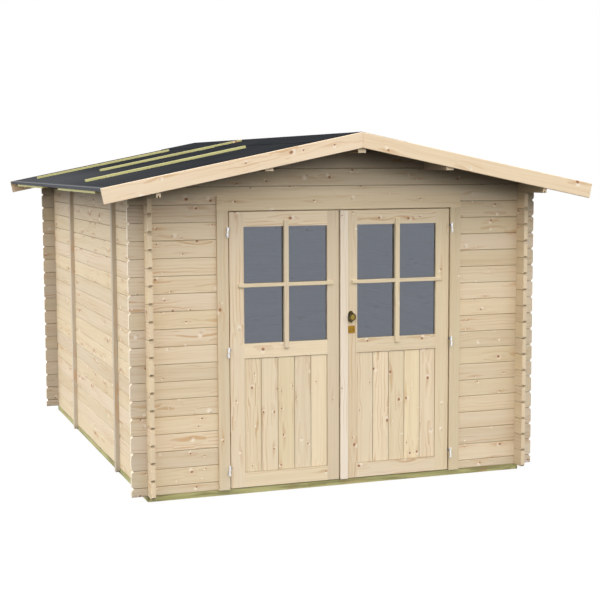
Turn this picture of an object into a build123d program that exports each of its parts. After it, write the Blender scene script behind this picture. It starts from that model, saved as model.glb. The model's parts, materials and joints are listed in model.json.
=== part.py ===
from build123d import *
from math import cos, radians, sin, sqrt, tan
import os

os.makedirs("parts", exist_ok=True)

# Timber sections
bearer_height = 38
bearer_width = 58
log_height = 114
log_thickness = 28
log_overhang = 105
log_chamfer = 4
log_end_chamfer = 14
end_cut_turn_degrees = 45
tongue_width = 9
tongue_height = 7
groove_relief = 6
purlin_width = 54
roof_board_thickness = 18
felt_thickness = 3
bargeboard_height = 98
bargeboard_thickness = 19
bargeboard_round = 3
brace_width = 45
brace_depth = 28
batten_width = 40
batten_height = 16

# Fits between pieces and the overrun of cuts
seam = 0.5
fit = 0.4
overrun = 20

# Walls, measured over their outer faces
wall_width = 2700
wall_depth = 3500
side_courses = 17
half_share = 0.5
quarter_share = 0.25
gable_courses = 4

# Roof
roof_pitch_degrees = 11.45
side_overhang = 343
eave_log_height = 107
front_overhang = 373
back_overhang = 240
eave_edge_inset = 6
purlin_offset = 625
purlin_height = 97
ridge_purlin_height = 110
brace_bottom = 8
brace_lap = 84
brace_round = 15
brace_setbacks = [885, 2540]
felt_batten_length = 1166
felt_batten_middles = [999, 676, 1013]
felt_batten_setbacks = [3449, 2327, 1172]
right_batten_drop = 90
eave_batten_length = 1375
eave_batten_setbacks = [3010, 938]

# Doorway and doors
frame_thickness = 42
frame_depth = 60
doorway_half_width = 797
casing_width = 76
casing_thickness = 18
head_casing_height = 96
stop_width = 15
stop_depth = 30
leaf_gap = 8
leaf_floor_gap = 6
leaf_thickness = 34
leaf_proud = 10
stile_width = 98
meeting_edge = 18
meeting_stile_inner = 108
meeting_gap = 7
rail_height = 97
mid_rail_rise = 862
panel_thickness = 12
glass_thickness = 4
strip_width = 54
strip_thickness = 16
strip_round = 3

# Hinges, knob and lock
hinge_inset = 7
hinge_standoff = 31
hinge_rises = [123, 909, 1695]
barrel_radius = 5.5
barrel_length = 35
finial_radius = 7.5
pin_radius = 3
pin_length = 26
pin_fit = 0.5
hinge_play = 1
arm_height = 16
arm_width = 9
web_thickness = 6
plate_thickness = 2.5
plate_lap = 28
knob_inset = 25
knob_rise = 1108
rosette_width = 43
rosette_height = 81
rosette_thickness = 5
knob_radius = 27
knob_neck_radius = 11
knob_neck_length = 10
knob_length = 25
knob_face_radius = 17
lock_rise = 1021
lock_width = 53
lock_plate_height = 50
lock_thickness = 3
lock_barrel_radius = 9
lock_barrel_length = 7
lock_inset = 27

# Derived places
half_width = wall_width / 2
roof_length = wall_depth + front_overhang + back_overhang
roof_front = -roof_length / 2
roof_back = roof_length / 2
wall_face = roof_front + front_overhang
wall_back = roof_back - back_overhang
wall_middle = (wall_face + wall_back) / 2
wall_mid_plane = Plane.XZ.offset(-wall_middle)
log_base = bearer_height
log_course = log_height - seam
front_log_length = wall_width + 2 * log_overhang
side_log_length = wall_depth + 2 * log_overhang
side_centre = half_width - log_thickness / 2
front_wall_y = wall_face + log_thickness / 2
back_wall_y = wall_back - log_thickness / 2
notch_width = log_thickness + 2 * fit
end_cut = log_end_chamfer * sqrt(2)
notch_height = 2 * log_height * quarter_share + fit
half_log = log_height * half_share
eave_log_base = log_base + side_courses * log_height
tongue_half = tongue_width / 2
groove_half = tongue_half + fit
groove_depth = tongue_height + groove_relief
log_half = log_thickness / 2
flat_half = log_half - log_chamfer
opening_half = doorway_half_width + frame_thickness
opening_top = log_base + half_log + (side_courses - 1) * log_height
slope = radians(roof_pitch_degrees)
roof_half_width = half_width + side_overhang
slope_length = roof_half_width / cos(slope)
boards_top = felt_thickness
boards_bottom = felt_thickness + roof_board_thickness
boards_front = roof_front + bargeboard_thickness
boards_back = roof_back - bargeboard_thickness
boards_length = boards_back - boards_front
edge_length = slope_length - eave_edge_inset
roof_underside = eave_log_base + eave_log_height + half_width * tan(slope)
ridge_height = roof_underside + boards_bottom / cos(slope)
purlin_underside = roof_underside - purlin_offset * tan(slope) - purlin_height
ridge_purlin_underside = roof_underside - ridge_purlin_height
brace_top = eave_log_base + brace_lap
frame_head = opening_top - frame_thickness
frame_head_height = frame_head - log_base
head_stop_length = 2 * (doorway_half_width - stop_width - fit)
head_casing_length = 2 * (doorway_half_width + casing_width)
leaf_edge = doorway_half_width - leaf_gap
leaf_top = frame_head - leaf_gap
leaf_bottom = log_base + leaf_floor_gap
leaf_front = wall_face - leaf_proud
leaf_back = leaf_front + leaf_thickness
leaf_middle = (leaf_front + leaf_back) / 2
left_meeting_stile = meeting_stile_inner - meeting_edge - meeting_gap
right_meeting_stile = meeting_stile_inner + meeting_edge
hinge_x = doorway_half_width + hinge_inset
hinge_y = wall_face - hinge_standoff
hinge_heights = [leaf_bottom + rise for rise in hinge_rises]
finial_rise = barrel_length - finial_radius
web_reach = hinge_x - leaf_edge
web_front = hinge_y - web_thickness / 2
plate_depth = leaf_front + plate_lap - web_front
casing_face = wall_face - casing_thickness
bay_width = leaf_edge - stile_width - meeting_stile_inner
bay_middle = meeting_stile_inner + bay_width / 2
mid_rail_bottom = leaf_bottom + mid_rail_rise
top_rail_bottom = leaf_top - rail_height
rail_bottoms = [leaf_bottom, mid_rail_bottom, top_rail_bottom]
panel_height = mid_rail_bottom - leaf_bottom - rail_height - 2 * fit
glass_height = top_rail_bottom - mid_rail_bottom - rail_height - 2 * fit
strip_edge = strip_width - meeting_edge
knob_x = strip_edge + knob_inset
knob_height = leaf_bottom + knob_rise
lock_x = strip_edge + lock_inset
lock_height = leaf_bottom + lock_rise
neck_start = leaf_front - rosette_thickness
bore_radius = pin_radius + pin_fit
bore_length = pin_length + hinge_play
down_slope = (cos(slope), 0, -sin(slope))
off_slope = (sin(slope), 0, cos(slope))
right_slope = Plane(origin=(0, 0, ridge_height), x_dir=down_slope, z_dir=off_slope)
felt_batten_rows = [roof_front + back for back in felt_batten_setbacks]
left_batten_places = list(zip(felt_batten_middles, felt_batten_rows))
right_batten_places = [(middle + right_batten_drop, row) for middle, row in left_batten_places]
eave_batten_places = [(edge_length, roof_front + back) for back in eave_batten_setbacks]
brace_places = [(wall_face + back, brace_bottom) for back in brace_setbacks]


def on_slope(along, depth):
    x = along * cos(slope) - depth * sin(slope)
    z = ridge_height - along * sin(slope) - depth * cos(slope)
    return (x, z)


def at_ridge(depth):
    return (fit, ridge_height - depth / cos(slope) - fit * tan(slope))


def under_roof(x):
    return roof_underside - fit - abs(x) * tan(slope)


log_profile = [
    (-groove_half, 0),
    (-flat_half, 0),
    (-log_half, log_chamfer),
    (-log_half, log_course - log_chamfer),
    (-flat_half, log_course),
    (-tongue_half, log_course),
    (-tongue_half, log_course + tongue_height),
    (tongue_half, log_course + tongue_height),
    (tongue_half, log_course),
    (flat_half, log_course),
    (log_half, log_course - log_chamfer),
    (log_half, log_chamfer),
    (flat_half, 0),
    (groove_half, 0),
    (groove_half, groove_depth),
    (-groove_half, groove_depth),
]
half_log_profile = [
    (-flat_half, 0),
    (-log_half, log_chamfer),
    (-log_half, half_log - seam - log_chamfer),
    (-flat_half, half_log - seam),
    (-tongue_half, half_log - seam),
    (-tongue_half, half_log - seam + tongue_height),
    (tongue_half, half_log - seam + tongue_height),
    (tongue_half, half_log - seam),
    (flat_half, half_log - seam),
    (log_half, half_log - seam - log_chamfer),
    (log_half, log_chamfer),
    (flat_half, 0),
]
side_bases = [log_base + course * log_height for course in range(side_courses)]
front_bases = [log_base + half_log + course * log_height for course in range(side_courses - 1)]
gable_bases = [opening_top + course * log_height for course in range(1, gable_courses)]
cross_levels = [log_base + half_log + course * log_height for course in range(side_courses)]
side_levels = [log_base + course * log_height for course in range(side_courses + 1)]
gable_levels = [opening_top, opening_top + log_height]
cross_walls = [front_wall_y, back_wall_y]
cross_columns = [-side_centre, side_centre]
side_log_ends = [wall_middle - side_log_length / 2, wall_middle + side_log_length / 2]
front_log_ends = [-front_log_length / 2, front_log_length / 2]
hinge_tops = [(hinge_x, hinge_y, height + hinge_play / 2) for height in hinge_heights]
hinge_bottoms = [(hinge_x, hinge_y, height - hinge_play / 2) for height in hinge_heights]
pin_bases = [(hinge_x, hinge_y, height - hinge_play) for height in hinge_heights]
lower_arms = [(hinge_x, hinge_y, height - barrel_length / 2) for height in hinge_heights]
upper_arms = [(hinge_x, hinge_y, height + barrel_length / 2) for height in hinge_heights]
upper_plates = [(leaf_edge, web_front, height + barrel_length / 2) for height in hinge_heights]
lower_finials = [(hinge_x, hinge_y, height - finial_rise) for height in hinge_heights]
upper_finials = [(hinge_x, hinge_y, height + finial_rise) for height in hinge_heights]

# Bearers
with BuildPart() as left_bearer:
    with BuildSketch():
        with Locations((-half_width, wall_middle)):
            Rectangle(bearer_width, wall_depth, align=(Align.MIN, Align.CENTER))
    extrude(amount=bearer_height)
left_bearer.part.label = "left_bearer"
export_step(left_bearer.part, "parts/left_bearer.step")

with BuildPart() as right_bearer:
    mirror(left_bearer.part, about=Plane.YZ)
right_bearer.part.label = "right_bearer"
export_step(right_bearer.part, "parts/right_bearer.step")

with BuildPart() as front_bearer:
    with BuildSketch():
        with Locations((0, wall_face)):
            Rectangle(wall_width - 2 * bearer_width, bearer_width, align=(Align.CENTER, Align.MIN))
    extrude(amount=bearer_height)
front_bearer.part.label = "front_bearer"
export_step(front_bearer.part, "parts/front_bearer.step")

with BuildPart() as back_bearer:
    mirror(front_bearer.part, about=wall_mid_plane)
back_bearer.part.label = "back_bearer"
export_step(back_bearer.part, "parts/back_bearer.step")

# Side walls: full courses, notched where the front and back logs cross, their ends chamfered
with BuildPart() as left_wall:
    with BuildSketch(wall_mid_plane):
        with Locations(*[(-side_centre, base) for base in side_bases]):
            Polygon(*log_profile, align=None)
    extrude(amount=side_log_length / 2, both=True)
    with Locations(*[(-side_centre, y, level) for level in side_levels for y in cross_walls]):
        Box(log_thickness + overrun, notch_width, notch_height, mode=Mode.SUBTRACT)
    with BuildSketch(Plane.YZ.offset(-half_width - overrun)):
        with Locations(*[(end, level) for level in side_levels for end in side_log_ends]):
            Rectangle(end_cut, end_cut, rotation=end_cut_turn_degrees)
    extrude(amount=log_thickness + 2 * overrun, mode=Mode.SUBTRACT)
left_wall.part.label = "left_wall"
export_step(left_wall.part, "parts/left_wall.step")

with BuildPart() as right_wall:
    mirror(left_wall.part, about=Plane.YZ)
right_wall.part.label = "right_wall"
export_step(right_wall.part, "parts/right_wall.step")

# Top side logs, carried on to the bargeboards and planed to the roof slope
with BuildPart() as left_eave_log:
    with BuildSketch(Plane.XZ.offset(-boards_back)):
        with Locations((-side_centre, eave_log_base)):
            Polygon(*log_profile, align=None)
    extrude(amount=boards_length)
    with Locations(*[(-side_centre, y, eave_log_base) for y in cross_walls]):
        Box(log_thickness + overrun, notch_width, notch_height, mode=Mode.SUBTRACT)
    with BuildSketch(Plane.XZ.offset(-boards_back - overrun)):
        with BuildLine():
            Polyline(
                (-half_width - overrun, under_roof(half_width + overrun)),
                (0, under_roof(0)),
                (0, ridge_height),
                (-half_width - overrun, ridge_height),
                close=True,
            )
        make_face()
    extrude(amount=boards_length + 2 * overrun, mode=Mode.SUBTRACT)
left_eave_log.part.label = "left_eave_log"
export_step(left_eave_log.part, "parts/left_eave_log.step")

with BuildPart() as right_eave_log:
    mirror(left_eave_log.part, about=Plane.YZ)
right_eave_log.part.label = "right_eave_log"
export_step(right_eave_log.part, "parts/right_eave_log.step")

# Front wall beside the doorway
with BuildPart() as front_wall_left:
    with BuildSketch(Plane.YZ.offset(-front_log_length / 2)):
        with Locations((front_wall_y, log_base)):
            Polygon(*half_log_profile, align=None)
        with Locations(*[(front_wall_y, base) for base in front_bases]):
            Polygon(*log_profile, align=None)
    extrude(amount=front_log_length / 2 - opening_half)
    with Locations(*[(-side_centre, front_wall_y, level) for level in cross_levels]):
        Box(notch_width, log_thickness + overrun, notch_height, mode=Mode.SUBTRACT)
    with BuildSketch(Plane.XZ.offset(-wall_face - log_thickness - overrun)):
        with Locations(*[(front_log_ends[0], level) for level in cross_levels]):
            Rectangle(end_cut, end_cut, rotation=end_cut_turn_degrees)
    extrude(amount=log_thickness + 2 * overrun, mode=Mode.SUBTRACT)
front_wall_left.part.label = "front_wall_left"
export_step(front_wall_left.part, "parts/front_wall_left.step")

with BuildPart() as front_wall_right:
    mirror(front_wall_left.part, about=Plane.YZ)
front_wall_right.part.label = "front_wall_right"
export_step(front_wall_right.part, "parts/front_wall_right.step")

# Back wall below the gable
with BuildPart() as back_wall:
    with BuildSketch(Plane.YZ):
        with Locations((back_wall_y, log_base)):
            Polygon(*half_log_profile, align=None)
        with Locations(*[(back_wall_y, base) for base in front_bases]):
            Polygon(*log_profile, align=None)
    extrude(amount=front_log_length / 2, both=True)
    with Locations(*[(x, back_wall_y, level) for level in cross_levels for x in cross_columns]):
        Box(notch_width, log_thickness + overrun, notch_height, mode=Mode.SUBTRACT)
    with BuildSketch(Plane.XZ.offset(-wall_back - overrun)):
        with Locations(*[(end, level) for level in cross_levels for end in front_log_ends]):
            Rectangle(end_cut, end_cut, rotation=end_cut_turn_degrees)
    extrude(amount=log_thickness + 2 * overrun, mode=Mode.SUBTRACT)
back_wall.part.label = "back_wall"
export_step(back_wall.part, "parts/back_wall.step")

# Gables: one log across the corners, then logs cut to the slope and slotted for the purlins
with BuildPart() as front_gable:
    with BuildSketch(Plane.YZ):
        with Locations((front_wall_y, opening_top)):
            Polygon(*log_profile, align=None)
    extrude(amount=front_log_length / 2, both=True)
    with BuildSketch(Plane.YZ):
        with Locations(*[(front_wall_y, base) for base in gable_bases]):
            Polygon(*log_profile, align=None)
    extrude(amount=half_width - log_thickness - fit, both=True)
    with Locations(*[(x, front_wall_y, level) for level in gable_levels for x in cross_columns]):
        Box(notch_width, log_thickness + overrun, notch_height, mode=Mode.SUBTRACT)
    with BuildSketch(Plane.XZ.offset(-wall_face - log_thickness - overrun)):
        with BuildLine():
            Polyline(
                (-half_width, under_roof(half_width)),
                (0, under_roof(0)),
                (half_width, under_roof(half_width)),
                (half_width, ridge_height + overrun),
                (-half_width, ridge_height + overrun),
                close=True,
            )
        make_face()
        with Locations((-purlin_offset, purlin_underside - fit), (purlin_offset, purlin_underside - fit)):
            Rectangle(purlin_width + 2 * fit, log_height, align=(Align.CENTER, Align.MIN))
        with Locations((0, ridge_purlin_underside - fit)):
            Rectangle(purlin_width + 2 * fit, log_height, align=(Align.CENTER, Align.MIN))
        with Locations(*[(end, level) for level in gable_levels for end in front_log_ends]):
            Rectangle(end_cut, end_cut, rotation=end_cut_turn_degrees)
    extrude(amount=log_thickness + 2 * overrun, mode=Mode.SUBTRACT)
front_gable.part.label = "front_gable"
export_step(front_gable.part, "parts/front_gable.step")

with BuildPart() as back_gable:
    mirror(front_gable.part, about=wall_mid_plane)
back_gable.part.label = "back_gable"
export_step(back_gable.part, "parts/back_gable.step")

# Purlins
with BuildPart() as ridge_purlin:
    with BuildSketch(Plane.XZ.offset(-boards_back)):
        with BuildLine():
            Polyline(
                (-purlin_width / 2, ridge_purlin_underside),
                (purlin_width / 2, ridge_purlin_underside),
                (purlin_width / 2, under_roof(purlin_width / 2)),
                (0, under_roof(0)),
                (-purlin_width / 2, under_roof(purlin_width / 2)),
                close=True,
            )
        make_face()
    extrude(amount=boards_length)
ridge_purlin.part.label = "ridge_purlin"
export_step(ridge_purlin.part, "parts/ridge_purlin.step")

with BuildPart() as right_purlin:
    with BuildSketch(Plane.XZ.offset(-boards_back)):
        with BuildLine():
            Polyline(
                (purlin_offset - purlin_width / 2, purlin_underside),
                (purlin_offset + purlin_width / 2, purlin_underside),
                (purlin_offset + purlin_width / 2, under_roof(purlin_offset + purlin_width / 2)),
                (purlin_offset - purlin_width / 2, under_roof(purlin_offset - purlin_width / 2)),
                close=True,
            )
        make_face()
    extrude(amount=boards_length)
right_purlin.part.label = "right_purlin"
export_step(right_purlin.part, "parts/right_purlin.step")

with BuildPart() as left_purlin:
    mirror(right_purlin.part, about=Plane.YZ)
left_purlin.part.label = "left_purlin"
export_step(left_purlin.part, "parts/left_purlin.step")

# Roof boards and felt
with BuildPart() as right_roof_boards:
    with BuildSketch(Plane.XZ.offset(-boards_back)):
        with BuildLine():
            Polyline(
                at_ridge(boards_top),
                on_slope(edge_length, boards_top),
                on_slope(edge_length, boards_bottom),
                at_ridge(boards_bottom),
                close=True,
            )
        make_face()
    extrude(amount=boards_length)
right_roof_boards.part.label = "right_roof_boards"
export_step(right_roof_boards.part, "parts/right_roof_boards.step")

with BuildPart() as left_roof_boards:
    mirror(right_roof_boards.part, about=Plane.YZ)
left_roof_boards.part.label = "left_roof_boards"
export_step(left_roof_boards.part, "parts/left_roof_boards.step")

with BuildPart() as right_felt:
    with BuildSketch(Plane.XZ.offset(-boards_back)):
        with BuildLine():
            Polyline(
                at_ridge(0),
                on_slope(edge_length + felt_thickness, 0),
                on_slope(edge_length + felt_thickness, boards_bottom),
                on_slope(edge_length, boards_bottom),
                on_slope(edge_length, boards_top),
                at_ridge(boards_top),
                close=True,
            )
        make_face()
    extrude(amount=boards_length)
right_felt.part.label = "right_felt"
export_step(right_felt.part, "parts/right_felt.step")

with BuildPart() as left_felt:
    mirror(right_felt.part, about=Plane.YZ)
left_felt.part.label = "left_felt"
export_step(left_felt.part, "parts/left_felt.step")

# Battens over the felt and under the eaves
with BuildPart() as felt_battens:
    with BuildSketch(right_slope):
        with Locations(*left_batten_places):
            Rectangle(felt_batten_length, batten_width)
    extrude(amount=batten_height)
    mirror(about=Plane.YZ, mode=Mode.REPLACE)
    with BuildSketch(right_slope):
        with Locations(*right_batten_places):
            Rectangle(felt_batten_length, batten_width)
    extrude(amount=batten_height)
felt_battens.part.label = "felt_battens"
export_step(felt_battens.part, "parts/felt_battens.step")

with BuildPart() as eave_battens:
    with BuildSketch(right_slope.offset(-boards_bottom - batten_height)):
        with Locations(*eave_batten_places):
            Rectangle(batten_width, eave_batten_length, align=(Align.MAX, Align.CENTER))
    extrude(amount=batten_height)
    mirror(about=Plane.YZ)
eave_battens.part.label = "eave_battens"
export_step(eave_battens.part, "parts/eave_battens.step")

# Bargeboards, two to a gable with a plumb joint at the ridge
with BuildPart() as front_bargeboards:
    with BuildSketch(Plane.XZ.offset(-boards_front)):
        with BuildLine():
            Polyline(
                at_ridge(0),
                on_slope(slope_length, 0),
                on_slope(slope_length, bargeboard_height),
                at_ridge(bargeboard_height),
                close=True,
            )
        make_face()
    extrude(amount=bargeboard_thickness)
    fillet(front_bargeboards.faces().sort_by(Axis.Y)[0].edges(), radius=bargeboard_round)
    mirror(about=Plane.YZ)
front_bargeboards.part.label = "front_bargeboards"
export_step(front_bargeboards.part, "parts/front_bargeboards.step")

with BuildPart() as back_bargeboards:
    mirror(front_bargeboards.part, about=Plane.XZ)
back_bargeboards.part.label = "back_bargeboards"
export_step(back_bargeboards.part, "parts/back_bargeboards.step")

# Storm braces on both side walls
with BuildPart() as wall_braces:
    with BuildSketch(Plane.YZ.offset(half_width)) as brace_outline:
        with Locations(*brace_places):
            Rectangle(brace_width, brace_top - brace_bottom, align=(Align.CENTER, Align.MIN))
        fillet(brace_outline.vertices().group_by(Axis.Z)[0], radius=brace_round)
    extrude(amount=brace_depth)
    mirror(about=Plane.YZ)
wall_braces.part.label = "wall_braces"
export_step(wall_braces.part, "parts/wall_braces.step")

# Doorway frame and casings
with BuildPart() as door_jambs:
    with BuildSketch(Plane.XY.offset(log_base)):
        with Locations((doorway_half_width, wall_face)):
            Rectangle(frame_thickness - fit, frame_depth, align=(Align.MIN, Align.MIN))
        with Locations((doorway_half_width, wall_face + frame_depth)):
            Rectangle(stop_width, stop_depth, align=(Align.MAX, Align.MAX))
    extrude(amount=frame_head_height)
    mirror(about=Plane.YZ)
door_jambs.part.label = "door_jambs"
export_step(door_jambs.part, "parts/door_jambs.step")

with BuildPart() as door_head:
    with BuildSketch(Plane.XY.offset(frame_head)):
        with Locations((0, wall_face)):
            Rectangle(2 * (opening_half - fit), frame_depth, align=(Align.CENTER, Align.MIN))
    extrude(amount=frame_thickness - fit)
    with BuildSketch(Plane.XY.offset(frame_head)):
        with Locations((0, wall_face + frame_depth)):
            Rectangle(head_stop_length, stop_depth, align=(Align.CENTER, Align.MAX))
    extrude(amount=-stop_width)
door_head.part.label = "door_head"
export_step(door_head.part, "parts/door_head.step")

with BuildPart() as side_casings:
    with BuildSketch(Plane.XY.offset(log_base)):
        with Locations((doorway_half_width, wall_face)):
            Rectangle(casing_width, casing_thickness, align=(Align.MIN, Align.MAX))
    extrude(amount=frame_head_height)
    mirror(about=Plane.YZ)
side_casings.part.label = "side_casings"
export_step(side_casings.part, "parts/side_casings.step")

with BuildPart() as head_casing:
    with BuildSketch(Plane.XY.offset(frame_head)):
        with Locations((0, wall_face)):
            Rectangle(head_casing_length, casing_thickness, align=(Align.CENTER, Align.MAX))
    extrude(amount=head_casing_height)
head_casing.part.label = "head_casing"
export_step(head_casing.part, "parts/head_casing.step")

# Left door leaf
with BuildPart() as left_door_stiles:
    with BuildSketch(Plane.XY.offset(leaf_bottom)):
        with Locations((-leaf_edge, leaf_middle)):
            Rectangle(stile_width, leaf_thickness, align=(Align.MIN, Align.CENTER))
        with Locations((-meeting_stile_inner, leaf_middle)):
            Rectangle(left_meeting_stile, leaf_thickness, align=(Align.MIN, Align.CENTER))
    extrude(amount=leaf_top - leaf_bottom)
left_door_stiles.part.label = "left_door_stiles"
export_step(left_door_stiles.part, "parts/left_door_stiles.step")

with BuildPart() as left_door_rails:
    with BuildSketch(Plane.XZ.offset(-leaf_back)):
        with Locations(*[(-bay_middle, bottom) for bottom in rail_bottoms]):
            Rectangle(bay_width, rail_height, align=(Align.CENTER, Align.MIN))
    extrude(amount=leaf_thickness)
left_door_rails.part.label = "left_door_rails"
export_step(left_door_rails.part, "parts/left_door_rails.step")

with BuildPart() as left_door_panel:
    with BuildSketch(Plane.XZ.offset(-leaf_middle)):
        with Locations((-bay_middle, leaf_bottom + rail_height + fit)):
            Rectangle(bay_width - 2 * fit, panel_height, align=(Align.CENTER, Align.MIN))
    extrude(amount=panel_thickness / 2, both=True)
left_door_panel.part.label = "left_door_panel"
export_step(left_door_panel.part, "parts/left_door_panel.step")

with BuildPart() as left_door_glass:
    with BuildSketch(Plane.XZ.offset(-leaf_middle)):
        with Locations((-bay_middle, mid_rail_bottom + rail_height + fit)):
            Rectangle(bay_width - 2 * fit, glass_height, align=(Align.CENTER, Align.MIN))
    extrude(amount=glass_thickness / 2, both=True)
left_door_glass.part.label = "left_door_glass"
export_step(left_door_glass.part, "parts/left_door_glass.step")

# Right door leaf
with BuildPart() as right_door_stiles:
    with BuildSketch(Plane.XY.offset(leaf_bottom)):
        with Locations((leaf_edge, leaf_middle)):
            Rectangle(stile_width, leaf_thickness, align=(Align.MAX, Align.CENTER))
        with Locations((meeting_stile_inner, leaf_middle)):
            Rectangle(right_meeting_stile, leaf_thickness, align=(Align.MAX, Align.CENTER))
    extrude(amount=leaf_top - leaf_bottom)
right_door_stiles.part.label = "right_door_stiles"
export_step(right_door_stiles.part, "parts/right_door_stiles.step")

with BuildPart() as right_door_rails:
    mirror(left_door_rails.part, about=Plane.YZ)
right_door_rails.part.label = "right_door_rails"
export_step(right_door_rails.part, "parts/right_door_rails.step")

with BuildPart() as right_door_panel:
    mirror(left_door_panel.part, about=Plane.YZ)
right_door_panel.part.label = "right_door_panel"
export_step(right_door_panel.part, "parts/right_door_panel.step")

with BuildPart() as right_door_glass:
    mirror(left_door_glass.part, about=Plane.YZ)
right_door_glass.part.label = "right_door_glass"
export_step(right_door_glass.part, "parts/right_door_glass.step")

with BuildPart() as meeting_strip:
    with BuildSketch(Plane.XY.offset(leaf_bottom)):
        with Locations((-meeting_edge, leaf_front)):
            Rectangle(strip_width, strip_thickness, align=(Align.MIN, Align.MAX))
    extrude(amount=leaf_top - leaf_bottom)
    fillet(meeting_strip.edges().filter_by(Axis.Z).group_by(Axis.Y)[0], radius=strip_round)
meeting_strip.part.label = "meeting_strip"
export_step(meeting_strip.part, "parts/meeting_strip.step")

# Hinges: lower halves with a pin on the casings, upper halves bored for it on the leaves
with BuildPart() as hinge_pins:
    with Locations(*hinge_bottoms):
        Cylinder(barrel_radius, barrel_length, align=(Align.CENTER, Align.CENTER, Align.MAX))
    with Locations(*lower_finials):
        Sphere(finial_radius)
    with Locations(*pin_bases):
        Cylinder(pin_radius, pin_length, align=(Align.CENTER, Align.CENTER, Align.MIN))
    with Locations(*lower_arms):
        Box(arm_width, casing_face - hinge_y, arm_height, align=(Align.MIN, Align.MIN, Align.CENTER))
    mirror(about=Plane.YZ)
hinge_pins.part.label = "hinge_pins"
export_step(hinge_pins.part, "parts/hinge_pins.step")

with BuildPart() as right_hinge_knuckles:
    with Locations(*hinge_tops):
        Cylinder(barrel_radius, barrel_length, align=(Align.CENTER, Align.CENTER, Align.MIN))
    with Locations(*upper_finials):
        Sphere(finial_radius)
    with Locations(*upper_arms):
        Box(web_reach, web_thickness, arm_height, align=(Align.MAX, Align.CENTER, Align.CENTER))
    with Locations(*upper_plates):
        Box(plate_thickness, plate_depth, arm_height, align=(Align.MIN, Align.MIN, Align.CENTER))
    with Locations(*pin_bases):
        Cylinder(bore_radius, bore_length, align=(Align.CENTER, Align.CENTER, Align.MIN), mode=Mode.SUBTRACT)
right_hinge_knuckles.part.label = "right_hinge_knuckles"
export_step(right_hinge_knuckles.part, "parts/right_hinge_knuckles.step")

with BuildPart() as left_hinge_knuckles:
    mirror(right_hinge_knuckles.part, about=Plane.YZ)
left_hinge_knuckles.part.label = "left_hinge_knuckles"
export_step(left_hinge_knuckles.part, "parts/left_hinge_knuckles.step")

# Knob and lock on both faces of the right leaf
with BuildPart() as door_knob:
    with BuildSketch(Plane.XZ.offset(-leaf_front)):
        with Locations((knob_x, knob_height)):
            Ellipse(rosette_width / 2, rosette_height / 2)
    extrude(amount=rosette_thickness)
    with BuildSketch(Plane.XY.offset(knob_height)):
        with BuildLine():
            Polyline(
                (knob_x, neck_start),
                (knob_x + knob_neck_radius, neck_start),
                (knob_x + knob_neck_radius, neck_start - knob_neck_length),
            )
            ThreePointArc(
                (knob_x + knob_neck_radius, neck_start - knob_neck_length),
                (knob_x + knob_radius, neck_start - knob_neck_length - knob_length / 2),
                (knob_x + knob_face_radius, neck_start - knob_neck_length - knob_length),
            )
            Polyline(
                (knob_x + knob_face_radius, neck_start - knob_neck_length - knob_length),
                (knob_x, neck_start - knob_neck_length - knob_length),
                (knob_x, neck_start),
            )
        make_face()
    revolve(axis=Axis((knob_x, 0, knob_height), (0, 1, 0)))
    mirror(about=Plane.XZ.offset(-leaf_middle))
door_knob.part.label = "door_knob"
export_step(door_knob.part, "parts/door_knob.step")

with BuildPart() as lock_plate:
    with BuildSketch(Plane.XZ.offset(-leaf_front)):
        with Locations((lock_x, lock_height)):
            Rectangle(lock_width, lock_plate_height)
    extrude(amount=lock_thickness)
    with BuildSketch(Plane.XZ.offset(-leaf_front)):
        with Locations((lock_x, lock_height)):
            Circle(lock_barrel_radius)
    extrude(amount=lock_barrel_length)
    mirror(about=Plane.XZ.offset(-leaf_middle))
lock_plate.part.label = "lock_plate"
export_step(lock_plate.part, "parts/lock_plate.step")
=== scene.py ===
import json
import math

import bmesh
import bpy
from mathutils import Matrix, Vector


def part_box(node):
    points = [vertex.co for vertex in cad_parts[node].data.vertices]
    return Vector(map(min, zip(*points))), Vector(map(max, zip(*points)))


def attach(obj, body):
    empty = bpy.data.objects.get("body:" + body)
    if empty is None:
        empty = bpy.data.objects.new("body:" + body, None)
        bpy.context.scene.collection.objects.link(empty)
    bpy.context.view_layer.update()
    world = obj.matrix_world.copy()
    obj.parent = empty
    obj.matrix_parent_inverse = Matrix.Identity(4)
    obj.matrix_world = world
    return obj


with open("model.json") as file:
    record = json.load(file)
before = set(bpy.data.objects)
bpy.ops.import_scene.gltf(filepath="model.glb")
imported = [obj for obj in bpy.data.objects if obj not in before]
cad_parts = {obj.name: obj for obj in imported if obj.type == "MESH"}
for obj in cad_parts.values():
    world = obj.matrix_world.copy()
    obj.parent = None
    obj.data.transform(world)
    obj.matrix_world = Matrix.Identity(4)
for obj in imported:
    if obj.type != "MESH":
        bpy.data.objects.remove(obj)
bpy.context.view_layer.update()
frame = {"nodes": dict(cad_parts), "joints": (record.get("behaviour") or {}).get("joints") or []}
nodes = frame["nodes"]
scene = bpy.context.scene
right_hinge = next(joint for joint in frame["joints"] if joint["name"] == "right_door_hinge")

# Sizes that the finishes follow, in metres, and the roof's angle in degrees
COURSE = 0.114
SIDE_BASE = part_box("left_wall")[0].z
FRONT_BASE = SIDE_BASE - COURSE / 2
LOG_JOINT = 0.0035
ROOF_BOARD = 0.095
ROOF_BOARD_JOINT = 0.003
DOOR_BOARD_JOINT = 0.004
ROOF_ANGLE = 11.45
SLOPE = math.tan(math.radians(ROOF_ANGLE))
RIDGE_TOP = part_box("left_felt")[1].z
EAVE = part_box("right_felt")[1].x
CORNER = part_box("right_wall")[1].x
HINGE_X, HINGE_Y = right_hinge["pos_m"][:2]

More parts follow.
